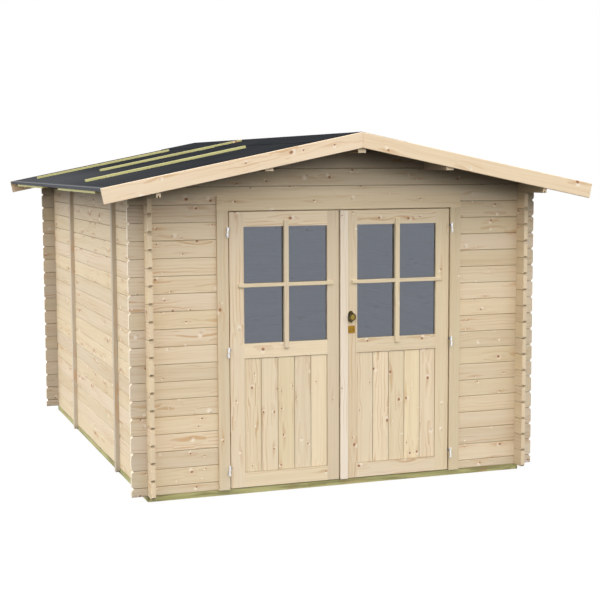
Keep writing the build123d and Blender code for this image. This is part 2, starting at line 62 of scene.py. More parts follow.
# Timber tones, pale and warm, as linear colours
SPRUCE_TONES = ((0.79, 0.65, 0.46, 1), (0.67, 0.495, 0.285, 1))
# The gable's tones are the log tones made paler and greyer, as painted light and a painted shade hue
GABLE_LIGHT_AND_SHADE_TONES = ((0.79, 0.67, 0.51, 1), (0.67, 0.515, 0.315, 1))
DOOR_TONES = ((0.835, 0.695, 0.485, 1), (0.715, 0.545, 0.335, 1))
STILE_TONES = ((0.79, 0.655, 0.457, 1), (0.715, 0.545, 0.335, 1))
STRIP_TONES = ((0.92, 0.81, 0.67, 1), (0.83, 0.69, 0.51, 1))
CASING_TONES = ((0.7, 0.58, 0.41, 1), (0.6, 0.45, 0.27, 1))
BARGE_TONES = ((0.82, 0.66, 0.48, 1), (0.72, 0.53, 0.34, 1))
BRACE_TONES = ((0.64, 0.56, 0.435, 1), (0.57, 0.46, 0.32, 1))
# The roof boards' tones are painted dark as shade under the roof
ROOF_BOARD_SHADE_TONES = ((0.24, 0.19, 0.13, 1), (0.17, 0.125, 0.08, 1))
TREATED_TONES = ((0.52, 0.49, 0.215, 1), (0.27, 0.25, 0.085, 1))
BATTEN_TONES = ((0.56, 0.53, 0.24, 1), (0.4, 0.37, 0.15, 1))

# Marks on timber, and the painted shade and light on it, as linear colours
KNOT_BROWN = (0.29, 0.13, 0.062, 1)
KNOT_AMBER = (0.54, 0.285, 0.135, 1)
FLAME = (0.62, 0.385, 0.185, 1)
FLECK = (0.93, 0.82, 0.68, 1)
JOINT_SHADE = (0.12, 0.085, 0.05, 1)
# Painted shade close under the roof
ROOF_SHADE = (0.03, 0.027, 0.024, 1)
TREATED_STAIN = (0.55, 0.53, 0.5, 1)
# Painted shade on the logs outside the corners, and painted light on their sawn ends
STUB_FRONT_SHADE = (0.84, 0.87, 0.94, 1)
STUB_BACK_SHADE = (0.75, 0.79, 0.88, 1)
STUB_END_LIGHT = (0.95, 0.85, 0.7, 1)

# Felt, metals and glass, the metals bright and dull, as linear colours. The paler felt is partly grit and
# patches and partly painted sheen, the fold tone is a painted highlight, and the grey of the hinge arms is
# painted shade
FELT_DARK = (0.0165, 0.018, 0.0205, 1)
FELT_GRIT_AND_SHEEN = (0.051, 0.0525, 0.0565, 1)
FELT_FOLD_HIGHLIGHT = (0.13, 0.133, 0.142, 1)
ZINC_TONES = ((0.95, 0.955, 0.965, 1), (0.8, 0.81, 0.83, 1))
ZINC_ARM_SHADE = (0.3, 0.3, 0.31, 1)
BRONZE_TONES = ((0.15, 0.115, 0.05, 1), (0.075, 0.06, 0.03, 1))
RUBBED_TONES = ((0.34, 0.245, 0.06, 1), (0.24, 0.17, 0.045, 1))
BRASS_TONES = ((0.4, 0.225, 0.03, 1), (0.28, 0.15, 0.02, 1))
GLASS_SMOKE = (0.35, 0.38, 0.43, 1)
GLASS_SHEEN = (0.84, 0.89, 1.0, 1)

# Sockets of a Mix node that blends colours
MIX_SHARE, MIX_FIRST, MIX_SECOND, MIX_RESULT = 0, 6, 7, 2


class Shading:
    """The nodes of one shader tree. Each input is a socket or a plain value."""

    def __init__(self, tree):
        self.tree = tree
        tree.nodes.clear()

    def feed(self, socket, value):
        if isinstance(value, bpy.types.NodeSocket):
            self.tree.links.new(value, socket)
        else:
            socket.default_value = value

    def node(self, kind, inputs=None, **settings):
        """One node with its settings. The inputs go by the name or number of a socket."""
        made = self.tree.nodes.new("ShaderNode" + kind)
        for key, value in settings.items():
            setattr(made, key, value)
        for key, value in (inputs or {}).items():
            self.feed(made.inputs[key], value)
        return made

    def math(self, operation, *values):
        return self.node("Math", dict(enumerate(values)), operation=operation).outputs[0]

    def add(self, first, second):
        return self.math("ADD", first, second)

    def subtract(self, first, second):
        return self.math("SUBTRACT", first, second)

    def multiply(self, first, second):
        return self.math("MULTIPLY", first, second)

    def divide(self, first, second):
        return self.math("DIVIDE", first, second)

    def scale_add(self, value, factor, offset):
        """The value times the factor, plus the offset."""
        return self.math("MULTIPLY_ADD", value, factor, offset)

    def distance(self, first, second):
        squares = self.add(self.multiply(first, first), self.multiply(second, second))
        return self.math("SQRT", squares)

    def clamp(self, value):
        return self.node("Clamp", {"Value": value}).outputs[0]

    def ease(self, value, low, high, at_low=0.0, at_high=1.0):
        """A smooth step from one value to another."""
        inputs = {"Value": value, "From Min": low, "From Max": high, "To Min": at_low, "To Max": at_high}
        return self.node("MapRange", inputs, interpolation_type="SMOOTHSTEP").outputs["Result"]

    def fade(self, value, low, high, at_low=1.0):
        """A smooth step down to nothing."""
        return self.ease(value, low, high, at_low, 0.0)

    def vector(self, operation, first, second):
        return self.node("VectorMath", {0: first, 1: second}, operation=operation).outputs[0]

    def split(self, vector):
        return self.node("SeparateXYZ", {0: vector}).outputs

    def join(self, x, y, z):
        return self.node("CombineXYZ", {0: x, 1: y, 2: z}).outputs[0]

    def split_colour(self, colour):
        return self.node("SeparateColor", {0: colour}).outputs

    def join_colour(self, red, green, blue):
        return self.node("CombineColor", {0: red, 1: green, 2: blue}).outputs[0]

    def blend(self, share, first, second, blend_type="MIX"):
        inputs = {MIX_SHARE: share, MIX_FIRST: first, MIX_SECOND: second}
        return self.node("Mix", inputs, data_type="RGBA", blend_type=blend_type).outputs[MIX_RESULT]

    def tint(self, share, colour, tone):
        return self.blend(share, colour, tone, "MULTIPLY")

    def noise(self, place, scale=1.0, detail=2.0, roughness=0.5):
        inputs = {"Vector": place, "Scale": scale, "Detail": detail, "Roughness": roughness}
        return self.node("TexNoise", inputs).outputs["Fac"]

    def wave(self, place, scale, distortion, detail_scale, **settings):
        inputs = {"Vector": place, "Scale": scale, "Distortion": distortion,
                  "Detail": 1.0, "Detail Scale": detail_scale}
        return self.node("TexWave", inputs, **settings).outputs["Fac"]

    def bump(self, height, strength, distance):
        inputs = {"Height": height, "Strength": strength, "Distance": distance}
        return self.node("Bump", inputs).outputs[0]

    def surface(self, inputs):
        """A Principled shader with these inputs, on the material's output."""
        shader = self.node("BsdfPrincipled", inputs)
        self.node("OutputMaterial", {"Surface": shader.outputs[0]})


def new_finish(name):
    """A material and its empty tree."""
    material = bpy.data.materials.new(name)
    material.use_nodes = True
    return material, Shading(material.node_tree)


def new_group(name, inputs, outputs):
    """A shader node group, its empty tree, what it is given and what it puts out."""
    group = bpy.data.node_groups.new(name, "ShaderNodeTree")
    make = Shading(group)
    for direction, sockets in (("INPUT", inputs), ("OUTPUT", outputs)):
        for label, kind in sockets.items():
            group.interface.new_socket(label, in_out=direction, socket_type="NodeSocket" + kind)
    start = group.nodes.new("NodeGroupInput")
    end = group.nodes.new("NodeGroupOutput")
    return group, make, start.outputs, end.inputs


# Knots in spruce: lengths in metres, counts and scales for each metre, edges in radii of the knot
KNOTS_ALONG = 5.2
KNOTS_ACROSS = 12.5
KNOT_SCATTER = 0.9
KNOT_RADIUS = 0.0045
KNOT_GROWTH = 0.0085
KNOT_WOBBLE = 0.006
WOBBLE_SCALE = 95.0
BROWN_SHARE = 0.72
CORE_EDGE = (0.55, 1.1)
RIM_EDGE = (0.25, 0.8)
GRAIN_EDGE = (1.0, 6.0)
FEATHER_EDGE = (0.4, 1.8)
FLECK_EDGE = (0.2, 2.1)
FLECK_SPAN = 3.4
FLECK_SHUFFLE = 13.7

# How far a knot, the bent grain round it and its stain are drawn out along the board, as length over width
KNOT_STRETCH = 1.25
GRAIN_STRETCH = 4.0
FEATHER_STRETCH = 5.0

# Grain in spruce: scales for each metre, and the noise from and to which each mark grows
BOARD_SLIDE = (43.0, 5.0, 9.0)
STREAKS_ALONG = 1.6
STREAKS_ACROSS = 95.0
STREAKS_DEEP = 60.0
BANDS_ALONG = 0.7
BANDS_ACROSS = 17.0
FIGURE_ALONG = 0.5
FIGURE_ACROSS = 13.0
ZONES_ALONG = 1.3
ZONES_ACROSS = 11.0
ZONES_APART = 7.0
DARK_STEP = (0.45, 0.75)
ZONE_STEP = (0.48, 0.68)
FLAME_STEP = (0.68, 1.0)
PARTING = 0.75

# Growth rings on a sawn end: how far their heart lies beside the board, and their scale for each metre
HEART = (0.0, 0.09, 0.05)
SECTION = (0.0, 1.0, 1.0)
RINGS = 52.0

# How strongly each mark shows, and how deep the grain is cut
STREAK_SHARE = 0.42
BAND_SHARE = 0.35
BENT_SHARE = 0.5
FLAME_SHARE = 0.8
FEATHER_SHARE = 0.22
FLECK_SHARE = 0.85
RING_SHARE = 0.5
JOINT_SHARE = 0.42
GRAIN_DEPTH = -0.4

# Spreads, as a factor and an offset: by the board's luck, by a knot's kind and by how dark the grain is
KNOTS_BY_LUCK = (1.3, 0.35)
FIGURE_BY_LUCK = (0.75, 0.1)
TONE_BY_LUCK = (0.13, 0.91)
COOL_BY_LUCK = (0.09, 0.95)
CORE_BY_KIND = (0.7, 0.25)
ROUGHNESS_BY_GRAIN = (0.1, 0.6)


def spruce_knots(make, given, place, chance):
    """Masks of the knots: one chance in each cell, at its real round size, more on some boards."""
    cells = make.vector("MULTIPLY", place, (KNOTS_ALONG, KNOTS_ACROSS, 0.0))
    inputs = {"Vector": cells, "Scale": 1.0, "Randomness": KNOT_SCATTER}
    found = make.node("TexVoronoi", inputs, voronoi_dimensions="2D", feature="F1").outputs
    cell = make.split_colour(found["Color"])
    centre = make.vector("MULTIPLY", found["Position"], (1 / KNOTS_ALONG, 1 / KNOTS_ACROSS, 0.0))
    away = make.split(make.vector("SUBTRACT", place, centre))
    wobble = make.subtract(make.noise(place, WOBBLE_SCALE), 0.5)
    radius = make.scale_add(make.math("POWER", cell[0], 2.0), KNOT_GROWTH, KNOT_RADIUS)
    radius = make.multiply(radius, given["Knot size"])

    def reach_of(stretch):
        """Distance from the knot in radii, the knot being drawn out along the grain."""
        plain = make.distance(make.divide(away[0], stretch), away[1])
        return make.divide(make.scale_add(wobble, KNOT_WOBBLE, plain), radius)

    share = make.multiply(given["Knot share"], make.scale_add(chance[2], *KNOTS_BY_LUCK))
    present = make.math("LESS_THAN", cell[1], share)
    brown = make.math("LESS_THAN", cell[1], make.multiply(share, BROWN_SHARE))
    reach = reach_of(KNOT_STRETCH)
    core = make.multiply(make.fade(reach, *CORE_EDGE), make.scale_add(brown, *CORE_BY_KIND))
    shuffled = make.math("FRACT", make.multiply(cell[2], FLECK_SHUFFLE))
    fleck_x = make.multiply(make.subtract(cell[2], 0.5), FLECK_SPAN)
    fleck_y = make.multiply(make.subtract(shuffled, 0.5), FLECK_SPAN)
    fleck = make.distance(
        make.subtract(make.divide(away[0], radius), fleck_x),
        make.subtract(make.divide(away[1], radius), fleck_y),
    )
    return {
        "offset": away[1],
        "core": make.multiply(core, present),
        "rim": make.ease(reach, *RIM_EDGE),
        "near": make.multiply(make.fade(reach_of(GRAIN_STRETCH), *GRAIN_EDGE), present),
        "feather": make.multiply(make.fade(reach_of(FEATHER_STRETCH), *FEATHER_EDGE), brown),
        "fleck": make.multiply(make.fade(fleck, *FLECK_EDGE), present),
    }


def spruce_grain(make, place, chance, knots):
    """Fine streaks, how dark the grain is, and flat-sawn figure that parts round the knots."""
    at = make.split(place)
    across = make.subtract(at[1], make.multiply(make.multiply(knots["offset"], knots["near"]), PARTING))

    def stretched(along, wide, deep):
        return make.join(make.multiply(at[0], along), make.multiply(across, wide), deep)

    streak_place = stretched(STREAKS_ALONG, STREAKS_ACROSS, make.multiply(at[2], STREAKS_DEEP))
    streak = make.noise(streak_place, detail=3.0, roughness=0.6)
    band = make.noise(stretched(BANDS_ALONG, BANDS_ACROSS, at[2]))
    figure = make.wave(stretched(FIGURE_ALONG, 1.0, at[2]), FIGURE_ACROSS, distortion=4.0, detail_scale=0.8,
                       wave_type="BANDS", bands_direction="Y", wave_profile="SIN")
    zone_place = stretched(ZONES_ALONG, ZONES_ACROSS, make.multiply(chance[0], ZONES_APART))
    zone = make.ease(make.noise(zone_place, detail=1.0), *ZONE_STEP)
    streaked = make.ease(streak, *DARK_STEP, at_high=STREAK_SHARE)
    dark = make.clamp(make.add(streaked, make.ease(band, *DARK_STEP, at_high=BAND_SHARE)))
    in_zone = make.multiply(zone, make.scale_add(chance[1], *FIGURE_BY_LUCK))
    figured = make.scale_add(knots["near"], BENT_SHARE, in_zone)
    flame = make.clamp(make.multiply(make.ease(figure, *FLAME_STEP), figured))
    return streak, dark, flame


def spruce_end(make, given, luck, tone):
    """A sawn end: growth rings round a heart beside the board."""
    section = make.vector("ADD", given["Place"], make.vector("MULTIPLY", luck, HEART))
    section = make.vector("MULTIPLY", section, SECTION)
    rings = make.wave(section, RINGS, distortion=1.5, detail_scale=12.0,
                      wave_type="RINGS", rings_direction="X", wave_profile="SAW")
    colour = make.blend(make.multiply(rings, RING_SHARE), given["Pale"], given["Warm"])
    return make.tint(1.0, colour, make.join_colour(tone, tone, tone))


def planed_spruce():
    """Streaked softwood in board space: x along the grain, y across the face, z into the board."""
    group, make, given, result = new_group(
        "planed_spruce",
        {"Place": "Vector", "Board": "Float", "Pale": "Color", "Warm": "Color", "Knot share": "Float",
         "Knot size": "Float", "Joint and shade": "Float", "End grain": "Float"},
        {"Colour": "Color", "Roughness": "Float", "Height": "Float"},
    )
    luck = make.node("TexWhiteNoise", {"W": given["Board"]}, noise_dimensions="1D").outputs["Color"]
    chance = make.split_colour(luck)
    place = make.vector("ADD", given["Place"], make.vector("MULTIPLY", luck, BOARD_SLIDE))
    knots = spruce_knots(make, given, place, chance)
    streak, dark, flame = spruce_grain(make, place, chance, knots)

    # Each board has its own tone, and some are cooler than others
    tone = make.scale_add(chance[0], *TONE_BY_LUCK)
    cool = make.multiply(tone, make.scale_add(chance[1], *COOL_BY_LUCK))
    colour = make.blend(dark, given["Pale"], given["Warm"])
    colour = make.blend(make.multiply(flame, FLAME_SHARE), colour, FLAME)
    colour = make.tint(1.0, colour, make.join_colour(tone, tone, cool))
    colour = make.blend(make.multiply(knots["feather"], FEATHER_SHARE), colour, KNOT_AMBER)
    colour = make.blend(make.multiply(knots["fleck"], FLECK_SHARE), colour, FLECK)
    colour = make.blend(knots["core"], colour, make.blend(knots["rim"], KNOT_BROWN, KNOT_AMBER))
    colour = make.blend(given["End grain"], colour, spruce_end(make, given, luck, tone))
    colour = make.blend(make.multiply(given["Joint and shade"], JOINT_SHARE), colour, JOINT_SHADE)
    make.feed(result["Colour"], colour)
    make.feed(result["Roughness"], make.scale_add(dark, *ROUGHNESS_BY_GRAIN))
    make.feed(result["Height"], make.multiply(make.add(streak, knots["core"]), GRAIN_DEPTH))
    return group


SPRUCE = planed_spruce()
AXES = {"X": 0, "Y": 1, "Z": 2}

# How far a face looks along the grain where it is a sawn end, and where it is the chamfer of one, which
# takes painted shade
SAWN_FACING = (0.5, 0.68)
CHAMFER_START = (0.6, 0.69)
CHAMFER_END = (0.73, 0.82)

# Where boards stop, where logs pass a corner, and how far below the roof the painted shade reaches, in
# metres
BOARD_END = (0.002, 0.007)
STUB_EDGE = 0.02
ROOF_SHADE_DEPTH = (0.08, 0.24)

# How strongly these show: the painted shade on chamfers, the painted light on stub ends, the painted shade
# under the roof, the dark core of a joint, the step to the boards of the other side, and the stain
CHAMFER_SHADE_SHARE = 0.8
STUB_END_LIGHT_SHARE = 0.8
ROOF_SHADE_SHARE = 0.62
JOINT_CORE = 0.3
SIDE_STEP = 0.37
STAIN_CLOUDS = (3.2, 34.0, 34.0)
STAIN_STEP = (0.42, 0.66)


def board_seams_and_shade(make, at, normal, facing, count, pitch, joint, ends):
    """Dark edges where boards meet, painted shade on the upper chamfers of sawn ends, and the heights where
    boards stop.
    """
    part = make.math("FRACT", count)
    edge = make.multiply(make.math("MINIMUM", part, make.subtract(1.0, part)), pitch)
    seam_and_shade = make.fade(edge, joint * JOINT_CORE, joint)
    # Painted shade on the upper chamfers of sawn ends, which face the light from above
    chamfer = make.fade(facing, *CHAMFER_END, CHAMFER_SHADE_SHARE)
    chamfer = make.multiply(make.ease(facing, *CHAMFER_START), chamfer)
    chamfer = make.multiply(chamfer, make.math("GREATER_THAN", normal[2], 0.0))
    seam_and_shade = make.math("MAXIMUM", seam_and_shade, chamfer)
    if ends:
        reach = make.math("MINIMUM", make.subtract(at[2], ends[0]), make.subtract(ends[1], at[2]))
        seam_and_shade = make.math("MAXIMUM", seam_and_shade, make.fade(reach, *BOARD_END))
    return seam_and_shade


def timber(name, along, across, pitch, start=0.0, seed=0.0, tones=SPRUCE_TONES, knots=0.5, knot_size=1.0,
           joint=0.0, sloped=False, sides=False, ends=None, stub_shading=None, stain=None, roofed=False):
    """A board finish. pitch and start number the boards across the face, joint darkens their edges and,
    with them, paints shade on the upper chamfers of sawn ends.

    sloped follows the roof, and sides gives the left and right boards their own grain. ends are the
    heights where boards stop, the stub colour is painted shade on the logs outside the corners and brings
    painted light onto their sawn ends, stain mottles, and roofed paints shade close under the roof."""
    material, make = new_finish(name)
    coordinates = make.node("TexCoord").outputs
    at = make.split(coordinates["Object"])
    normal = make.split(coordinates["Normal"])
    aside = make.math("ABSOLUTE", at[0])
    deep = ({"X", "Y", "Z"} - {along, across}).pop()
    over = at[AXES[across]]
    if sloped:
        over = make.scale_add(aside, SLOPE, over)
    count = make.divide(make.subtract(over, start), pitch)
    board = make.add(make.math("FLOOR", count), seed)
    if sides:
        board = make.scale_add(make.math("SIGN", at[0]), SIDE_STEP, board)
    spot = make.join(at[AXES[along]], over, at[AXES[deep]])
    facing = make.math("ABSOLUTE", normal[AXES[along]])
    planed = make.fade(facing, *SAWN_FACING)
    seam_and_shade = board_seams_and_shade(make, at, normal, facing, count, pitch, joint, ends) if joint else 0.0
    inputs = {"Place": spot, "Board": board, "Pale": tones[0], "Warm": tones[1], "Knot share": knots,
              "Knot size": knot_size, "Joint and shade": seam_and_shade, "End grain": make.ease(facing, *SAWN_FACING)}
    grain = make.node("Group", inputs, node_tree=SPRUCE).outputs
    colour = grain["Colour"]
    # Painted shade on the logs outside the corners, and painted light on their sawn ends
    if stub_shading:
        outside = make.multiply(make.ease(aside, CORNER - STUB_EDGE, CORNER), planed)
        colour = make.tint(outside, colour, stub_shading)
        colour = make.blend(make.ease(facing, *SAWN_FACING, at_high=STUB_END_LIGHT_SHARE), colour, STUB_END_LIGHT)
    # Painted shade close under the roof, deepest just below it
    if roofed:
        depth = make.subtract(make.scale_add(aside, -SLOPE, RIDGE_TOP), at[2])
        painted_roof_shade = make.multiply(make.fade(depth, *ROOF_SHADE_DEPTH, ROOF_SHADE_SHARE), planed)
        colour = make.blend(painted_roof_shade, colour, ROOF_SHADE)
    if stain:
        cloud = make.noise(make.vector("MULTIPLY", spot, STAIN_CLOUDS), detail=3.0)
        colour = make.tint(make.ease(cloud, *STAIN_STEP), colour, stain)
    make.surface({
        "Base Color": colour,
        "Roughness": grain["Roughness"],
        "Specular IOR Level": 0.3,
        "Normal": make.bump(grain["Height"], strength=0.18, distance=0.0012),
    })
    return material


# Grit and worn patches in felt: scale for each metre, noise from and to which they grow, and how strongly
GRIT_SCALE = 520.0
GRIT_STEP = (0.45, 0.75)
GRIT_SHARE = 0.3
PATCH_SCALE = 2.3
PATCH_STEP = (0.4, 0.7)
PATCH_SHARE = 0.15

# Where a painted sheen grows on the felt towards the eave and from front to back, and where the painted
# highlight on its fold over the eave lies, in metres
SHEEN_START = 0.9
SHEEN_DEPTH = (-2.0, 0.5)
SHEEN_IN_FRONT = 0.35
FOLD_START = EAVE - 0.04
FOLD_END = EAVE - 0.002


def roofing_felt(name):
    """Charcoal felt with mineral grit, a painted sheen paler towards the eaves and the back, and a painted
    highlight on the fold.
    """
    material, make = new_finish(name)
    spot = make.node("TexCoord").outputs["Object"]
    at = make.split(spot)
    grit = make.noise(spot, GRIT_SCALE)
    patch = make.noise(spot, PATCH_SCALE, detail=3.0)
    aside = make.math("ABSOLUTE", at[0])
    # Painted sheen, paler towards the eaves and the back
    sheen_to_back = make.ease(at[1], *SHEEN_DEPTH, at_low=SHEEN_IN_FRONT)
    wear_and_sheen = make.multiply(make.ease(aside, SHEEN_START, FOLD_START), sheen_to_back)
    colour = make.blend(wear_and_sheen, FELT_DARK, FELT_GRIT_AND_SHEEN)
    colour = make.blend(make.ease(grit, *GRIT_STEP, at_high=GRIT_SHARE), colour, FELT_GRIT_AND_SHEEN)
    colour = make.blend(make.ease(patch, *PATCH_STEP, at_high=PATCH_SHARE), colour, FELT_GRIT_AND_SHEEN)
    # Painted highlight on the fold over the eave
    colour = make.blend(make.ease(aside, FOLD_START, FOLD_END), colour, FELT_FOLD_HIGHLIGHT)
    make.surface({
        "Base Color": colour,
        "Roughness": 0.95,
        "Specular IOR Level": 0.0,
        "Normal": make.bump(grit, strength=0.35, distance=0.001),
    })
    return material


# Wear on metal: noise from and to which it dulls and roughens, and by how much it roughens
DULL_STEP = (0.35, 0.7)
ROUGH_STEP = (0.3, 0.75)
ROUGHER = 0.18

# A hinge is barrel up to the first radius and arm from the second, in metres; the arm takes painted shade
HINGE_BARREL = (0.0078, 0.0095)

# Ripple in the panes, for each metre
RIPPLE_SCALE = 3.0


def fitting_metal(name, tones, roughness, scale, arm_shade=None):
    """Worn metal, bright and dull. A hinge's arms beside its barrel take painted shade, when a shade colour
    is given.
    """
    material, make = new_finish(name)
    spot = make.node("TexCoord").outputs["Object"]
    wear_and_sheen = make.noise(spot, scale, detail=4.0)
    colour = make.blend(make.ease(wear_and_sheen, *DULL_STEP), *tones)
    # Painted shade on the hinge arms beside the barrel
    if arm_shade:
        at = make.split(spot)
        aside = make.subtract(make.math("ABSOLUTE", at[0]), HINGE_X)
        ahead = make.subtract(at[1], HINGE_Y)
        colour = make.blend(make.ease(make.distance(aside, ahead), *HINGE_BARREL), colour, arm_shade)
    make.surface({
        "Base Color": colour,
        "Metallic": 1.0,
        "Roughness": make.ease(wear_and_sheen, *ROUGH_STEP, roughness, roughness + ROUGHER),
    })
    return material


def window_glass(name):
    """Smoky panes with a faint ripple."""
    material, make = new_finish(name)
    spot = make.node("TexCoord").outputs["Object"]
    ripple = make.noise(spot, RIPPLE_SCALE, detail=1.0)
    make.surface({
        "Base Color": GLASS_SMOKE,
        "Roughness": 0.02,
        "IOR": 2.15,
        "Specular Tint": GLASS_SHEEN,
        "Transmission Weight": 1.0,
        "Normal": make.bump(ripple, strength=0.05, distance=0.002),
    })
    return material


def dress(material, *names):
    for name in names:
        nodes[name].data.materials.clear()
        nodes[name].data.materials.append(material)


# Logs, each course with its own grain
LOGS = {"across": "Z", "pitch": COURSE, "joint": LOG_JOINT, "roofed": True}
SIDE_LOGS = {"along": "Y", "start": SIDE_BASE, "knots": 0.35, "knot_size": 1.35, **LOGS}
END_LOGS = {"along": "X", "start": FRONT_BASE, **LOGS}
dress(timber("left_wall_logs", seed=3.1, **SIDE_LOGS), "left_wall", "left_eave_log")
dress(timber("right_wall_logs", seed=41.7, **SIDE_LOGS), "right_wall", "right_eave_log")
dress(timber("front_left_logs", seed=83.2, stub_shading=STUB_FRONT_SHADE, **END_LOGS), "front_wall_left")
dress(timber("front_right_logs", seed=113.9, stub_shading=STUB_FRONT_SHADE, **END_LOGS), "front_wall_right")
dress(timber("gable_logs", seed=151.2, tones=GABLE_LIGHT_AND_SHADE_TONES, **END_LOGS), "front_gable")
dress(timber("back_logs", seed=187.6, stub_shading=STUB_BACK_SHADE, **END_LOGS), "back_wall", "back_gable")

# Roof timber, braces and bearers
dress(timber("purlin_spruce", "Y", "X", pitch=0.3, start=0.15, seed=211.4, roofed=True),
      "ridge_purlin", "left_purlin", "right_purlin")
dress(timber("roof_boards", "X", "Y", pitch=ROOF_BOARD, start=0.02, seed=233.8, tones=ROOF_BOARD_SHADE_TONES,
             joint=ROOF_BOARD_JOINT, sides=True), "left_roof_boards", "right_roof_boards")
dress(timber("bargeboards", "X", "Z", pitch=5.0, seed=251.5, tones=BARGE_TONES, knots=0.3, knot_size=1.5,
             sloped=True, sides=True), "front_bargeboards", "back_bargeboards")
dress(timber("brace_spruce", "Z", "Y", pitch=0.5, seed=271.3, tones=BRACE_TONES, knots=0.0, sides=True),
      "wall_braces")
BEARERS = {"pitch": 1.0, "start": 0.5, "tones": TREATED_TONES, "knots": 0.2, "stain": TREATED_STAIN}
dress(timber("side_bearers", "Y", "X", seed=349.4, **BEARERS), "left_bearer", "right_bearer")
dress(timber("end_bearers", "X", "Y", seed=359.8, **BEARERS), "front_bearer", "back_bearer")
BATTENS = {"pitch": 0.4, "tones": BATTEN_TONES, "knots": 0.1}
dress(timber("slope_battens", "X", "Y", seed=367.9, sides=True, **BATTENS), "felt_battens")
dress(timber("eave_strips", "Y", "X", seed=373.3, **BATTENS), "eave_battens")

# Doorway and doors
dress(timber("jamb_spruce", "Z", "X", pitch=0.5, seed=281.9, knots=0.3), "door_jambs")
dress(timber("casing_spruce", "Z", "X", pitch=0.5, start=0.25, seed=291.6, tones=CASING_TONES, knots=0.65),
      "side_casings")
dress(timber("head_spruce", "X", "Z", pitch=0.5, start=0.25, seed=303.7, knots=0.7, knot_size=1.2),
      "head_casing", "door_head")
dress(timber("stile_spruce", "Z", "X", pitch=0.2, seed=311.8, tones=STILE_TONES, knots=0.35),
      "left_door_stiles", "right_door_stiles")
dress(timber("strip_spruce", "Z", "X", pitch=0.5, start=-0.25, seed=319.4, tones=STRIP_TONES, knots=0.2),
      "meeting_strip")
dress(timber("rail_spruce", "X", "Z", pitch=0.35, seed=323.5, tones=DOOR_TONES, knots=0.45, sides=True),
      "left_door_rails", "right_door_rails")
dress(timber("panel_spruce", "Z", "X", pitch=0.1166, start=0.108, seed=337.1),
      "left_door_panel", "right_door_panel")

# Felt, fittings and panes
FELT = roofing_felt("charcoal_felt")
RUBBED = fitting_metal("rubbed_bronze", RUBBED_TONES, roughness=0.35, scale=60.0)
dress(FELT, "left_felt", "right_felt")
dress(fitting_metal("zinc_plate", ZINC_TONES, roughness=0.25, scale=90.0, arm_shade=ZINC_ARM_SHADE),
      "hinge_pins", "left_hinge_knuckles", "right_hinge_knuckles")
dress(fitting_metal("dark_bronze", BRONZE_TONES, roughness=0.38, scale=60.0), "door_knob")
dress(fitting_metal("satin_brass", BRASS_TONES, roughness=0.35, scale=45.0), "lock_plate")
dress(window_glass("door_glass"), "left_door_glass", "right_door_glass")


def add_piece(name, shape, material, body):
    """Makes a bmesh a piece that rides on a body, with the finish it is given."""
    mesh = bpy.data.meshes.new(name)
    shape.to_mesh(mesh)
    shape.free()
    mesh.materials.append(material)
    piece = bpy.data.objects.new(name, mesh)
    scene.collection.objects.link(piece)
    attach(piece, body)


def board_piece(name, boxes, round_by, material, body):
    """Planed lengths of timber in one mesh, each given by its low and high corners."""
    shape = bmesh.new()
    for low, high in boxes:
        size = Vector(high) - Vector(low)
        middle = (Vector(high) + Vector(low)) / 2
        stretch = Matrix.Translation(middle) @ Matrix.Diagonal((*size, 1.0))
        bmesh.ops.create_cube(shape, size=1.0, matrix=stretch)
    bmesh.ops.bevel(shape, geom=shape.edges[:], offset=round_by, segments=2, profile=0.5,
                    affect="EDGES", material=-1)
    add_piece(name, shape, material, body)


def ridge_strip(name, reach, thickness):
    """A second layer of felt folded over the ridge, reaching down both slopes."""
    low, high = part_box("left_felt")
    foot = RIDGE_TOP - reach * SLOPE
    shape = bmesh.new()
    section = ((-reach, foot), (0.0, RIDGE_TOP), (reach, foot))
    corners = [shape.verts.new((x, low.y, z)) for x, z in section]
    edges = [shape.edges.new(pair) for pair in zip(corners, corners[1:])]
    sheet = bmesh.ops.extrude_edge_only(shape, edges=edges)["geom"]
    far = [part for part in sheet if isinstance(part, bmesh.types.BMVert)]
    bmesh.ops.translate(shape, verts=far, vec=(0.0, high.y - low.y, 0.0))
    bmesh.ops.recalc_face_normals(shape, faces=shape.faces[:])
    if shape.faces[0].normal.z > 0:
        bmesh.ops.reverse_faces(shape, faces=shape.faces[:])
    bmesh.ops.solidify(shape, geom=shape.faces[:], thickness=thickness)
    bmesh.ops.recalc_face_normals(shape, faces=shape.faces[:])
    add_piece(name, shape, FELT, "shed")


# Facets round a turned fitting, and how close its doubled points lie, in metres
TURNED_STEPS = 32
MERGE_WITHIN = 1e-5


def turned_pair(name, fitting, profile, material, body):
    """A turned disc on the outer and inner face of a door fitting. profile is radius and rise."""
    low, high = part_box(fitting)
    centre = (low + high) / 2
    shape = bmesh.new()
    for face, outward in ((low.y, -1.0), (high.y, 1.0)):
        points = [shape.verts.new((centre.x + radius, face + outward * rise, centre.z))
                  for radius, rise in profile]
        edges = [shape.edges.new(pair) for pair in zip(points, points[1:])]
        bmesh.ops.spin(shape, geom=points + edges, cent=centre, axis=(0.0, 1.0, 0.0), angle=math.tau,
                       steps=TURNED_STEPS, use_merge=True)
    bmesh.ops.remove_doubles(shape, verts=shape.verts[:], dist=MERGE_WITHIN)
    bmesh.ops.recalc_face_normals(shape, faces=shape.faces[:])
    for facet in shape.faces:
        facet.smooth = True
    add_piece(name, shape, material, body)


# A rubbed cap on the knob and a core in the lock, as radius and rise in metres
KNOB_CAP = ((0.0, -0.001), (0.0165, -0.001), (0.0165, 0.0006),
            (0.0135, 0.0018), (0.007, 0.0027), (0.0, 0.003))
LOCK_CORE = ((0.0, -0.001), (0.0062, -0.001), (0.0062, 0.0004), (0.005, 0.001), (0.0, 0.0012))

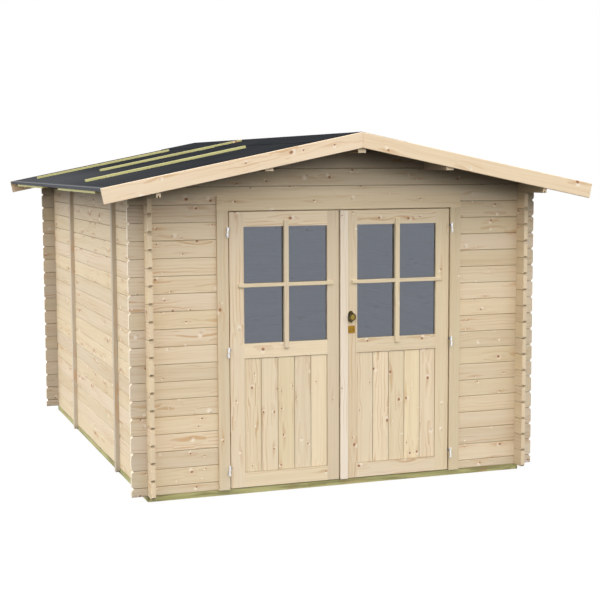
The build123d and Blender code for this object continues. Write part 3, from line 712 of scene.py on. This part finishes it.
ridge_strip("ridge_felt", reach=0.32, thickness=0.003)
turned_pair("knob_cap", "door_knob", KNOB_CAP, RUBBED, "right_door")
turned_pair("lock_core", "lock_plate", LOCK_CORE, RUBBED, "right_door")

# Boards to a door panel, and sizes of boards and glazing bars, in metres
BOARDS = 5
BOARD_PROUD = 0.005
BOARD_SUNK = 0.001
BOARD_GAP = 0.001
BOARD_ROUND = 0.0028
BAR_LAP = 0.04
BAR_ROUND = 0.003
UPRIGHT_WIDTH = 0.032
UPRIGHT_PROUD = 0.014
LEVEL_WIDTH = 0.025
LEVEL_PROUD = 0.012


def door_boards(side, seed):
    """Upright boards on both faces of a door panel."""
    name = side + "_door_boards"
    low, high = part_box(side + "_door_panel")
    width = (high.x - low.x) / BOARDS
    faces = ((low.y - BOARD_PROUD, low.y + BOARD_SUNK), (high.y - BOARD_SUNK, high.y + BOARD_PROUD))
    edges = [low.x + number * width for number in range(BOARDS + 1)]
    boards = [((left + BOARD_GAP, near, low.z), (right - BOARD_GAP, far, high.z))
              for left, right in zip(edges, edges[1:]) for near, far in faces]
    finish = timber(name, "Z", "X", pitch=width, start=low.x, seed=seed, tones=DOOR_TONES,
                    joint=DOOR_BOARD_JOINT, ends=(low.z, high.z))
    board_piece(name, boards, BOARD_ROUND, finish, side + "_door")


def glazing_bars(side, upright_seed, level_seed):
    """A cross of bars over both faces of a pane, lapped onto the leaf round it."""
    low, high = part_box(side + "_door_glass")
    leaf_low, leaf_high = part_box(side + "_door_stiles")
    middle = (low + high) / 2

    def faces(proud):
        return ((leaf_low.y - proud, low.y), (high.y, leaf_high.y + proud))

    half = UPRIGHT_WIDTH / 2
    upright = [((middle.x - half, near, low.z - BAR_LAP), (middle.x + half, far, high.z + BAR_LAP))
               for near, far in faces(UPRIGHT_PROUD)]
    half = LEVEL_WIDTH / 2
    level = [((low.x - BAR_LAP, near, middle.z - half), (high.x + BAR_LAP, far, middle.z + half))
             for near, far in faces(LEVEL_PROUD)]
    bars = {"pitch": 3.0, "tones": DOOR_TONES, "knots": 0.2}
    name = side + "_upright_bars"
    finish = timber(name, "Z", "X", start=-4.0, seed=upright_seed, **bars)
    board_piece(name, upright, BAR_ROUND, finish, side + "_door")
    name = side + "_level_bars"
    finish = timber(name, "X", "Z", seed=level_seed, **bars)
    board_piece(name, level, BAR_ROUND, finish, side + "_door")


DOOR_SEEDS = {"left": (401.3, 451.0, 461.0), "right": (433.9, 453.0, 463.0)}
for side, (board_seed, upright_seed, level_seed) in DOOR_SEEDS.items():
    door_boards(side, board_seed)
    glazing_bars(side, upright_seed, level_seed)

# Studio: white wherever it is seen, also in glass and metal, and plain light on the object
WHITE = (1, 1, 1, 1)
FLOOR_SIZE = 60.0
FLOOR_MATT = (0.004, 0.004, 0.004, 1)
FLOOR_PALE = (0.9, 0.9, 0.9, 1)
FLOOR_GLOW = 0.85
SKY_LIGHT = 1.68


def seen_rays(make):
    """1 for rays of the camera, of mirrors and of glass, and 0 for the light on the object."""
    rays = make.node("LightPath").outputs
    mirrored = make.math("MAXIMUM", rays["Is Glossy Ray"], rays["Is Transmission Ray"])
    return make.math("MAXIMUM", rays["Is Camera Ray"], mirrored)


def mix_shaders(make, share, first, second):
    return make.node("MixShader", {0: share, 1: first.outputs[0], 2: second.outputs[0]})


def studio_floor():
    mesh = bpy.data.meshes.new("studio_floor")
    shape = bmesh.new()
    bmesh.ops.create_grid(shape, x_segments=1, y_segments=1, size=FLOOR_SIZE)
    shape.to_mesh(mesh)
    shape.free()
    floor = bpy.data.objects.new("studio_floor", mesh)
    scene.collection.objects.link(floor)
    material, make = new_finish("pale_floor")
    matt = make.node("BsdfDiffuse", {"Color": FLOOR_MATT})
    pale = make.node("BsdfDiffuse", {"Color": FLOOR_PALE})
    glow = make.node("Emission", {"Color": WHITE, "Strength": 1.0})
    mixed = mix_shaders(make, seen_rays(make), matt, mix_shaders(make, FLOOR_GLOW, pale, glow))
    make.node("OutputMaterial", {"Surface": mixed.outputs[0]})
    mesh.materials.append(material)


def studio_world():
    world = bpy.data.worlds.new("studio_world")
    scene.world = world
    world.use_nodes = True
    make = Shading(world.node_tree)
    soft = make.node("Background", {"Color": WHITE, "Strength": SKY_LIGHT})
    white = make.node("Background", {"Color": WHITE, "Strength": 1.0})
    mixed = mix_shaders(make, seen_rays(make), soft, white)
    make.node("OutputWorld", {"Surface": mixed.outputs[0]})


def studio_lamp(name, towards, strength, softness):
    """A far soft lamp shining along a direction."""
    lamp = bpy.data.lights.new(name, "SUN")
    lamp.energy = strength
    lamp.angle = math.radians(softness)
    holder = bpy.data.objects.new(name, lamp)
    holder.rotation_euler = Vector(towards).to_track_quat("-Z", "Y").to_euler()
    scene.collection.objects.link(holder)


studio_floor()
studio_world()
studio_lamp("top_lamp", towards=(0.0, 0.0, -1.0), strength=1.3, softness=140)
studio_lamp("side_lamp", towards=(1.0, -0.2, -0.5), strength=0.3, softness=20)

# Camera at the photograph's angle, in metres and degrees, its lens in millimetres
CAMERA_PLACE = (-3.2358, -9.8754, 2.1685)
CAMERA_YAW = 19.7265
CAMERA_PITCH = 5.8467
CAMERA_ROLL = -0.2263
FOCAL_LENGTH = 78.942
SENSOR_WIDTH = 36.0
VIEW_END = 200.0


def photo_camera():
    yaw, pitch, roll = (math.radians(turn) for turn in (CAMERA_YAW, CAMERA_PITCH, CAMERA_ROLL))
    level = math.cos(pitch)
    gaze = Vector((math.sin(yaw) * level, math.cos(yaw) * level, -math.sin(pitch)))
    right = gaze.cross(Vector((0, 0, 1))).normalized()
    up = right.cross(gaze)
    rolled_right = right * math.cos(roll) + up * math.sin(roll)
    rolled_up = up * math.cos(roll) - right * math.sin(roll)
    lens = bpy.data.cameras.new("camera")
    lens.sensor_width = SENSOR_WIDTH
    lens.lens = FOCAL_LENGTH
    lens.clip_end = VIEW_END
    camera = bpy.data.objects.new("camera", lens)
    axes = Matrix((rolled_right, rolled_up, -gaze)).transposed().to_4x4()
    camera.matrix_world = Matrix.Translation(CAMERA_PLACE) @ axes
    scene.collection.objects.link(camera)
    scene.camera = camera


photo_camera()
scene.view_settings.view_transform = "Standard"
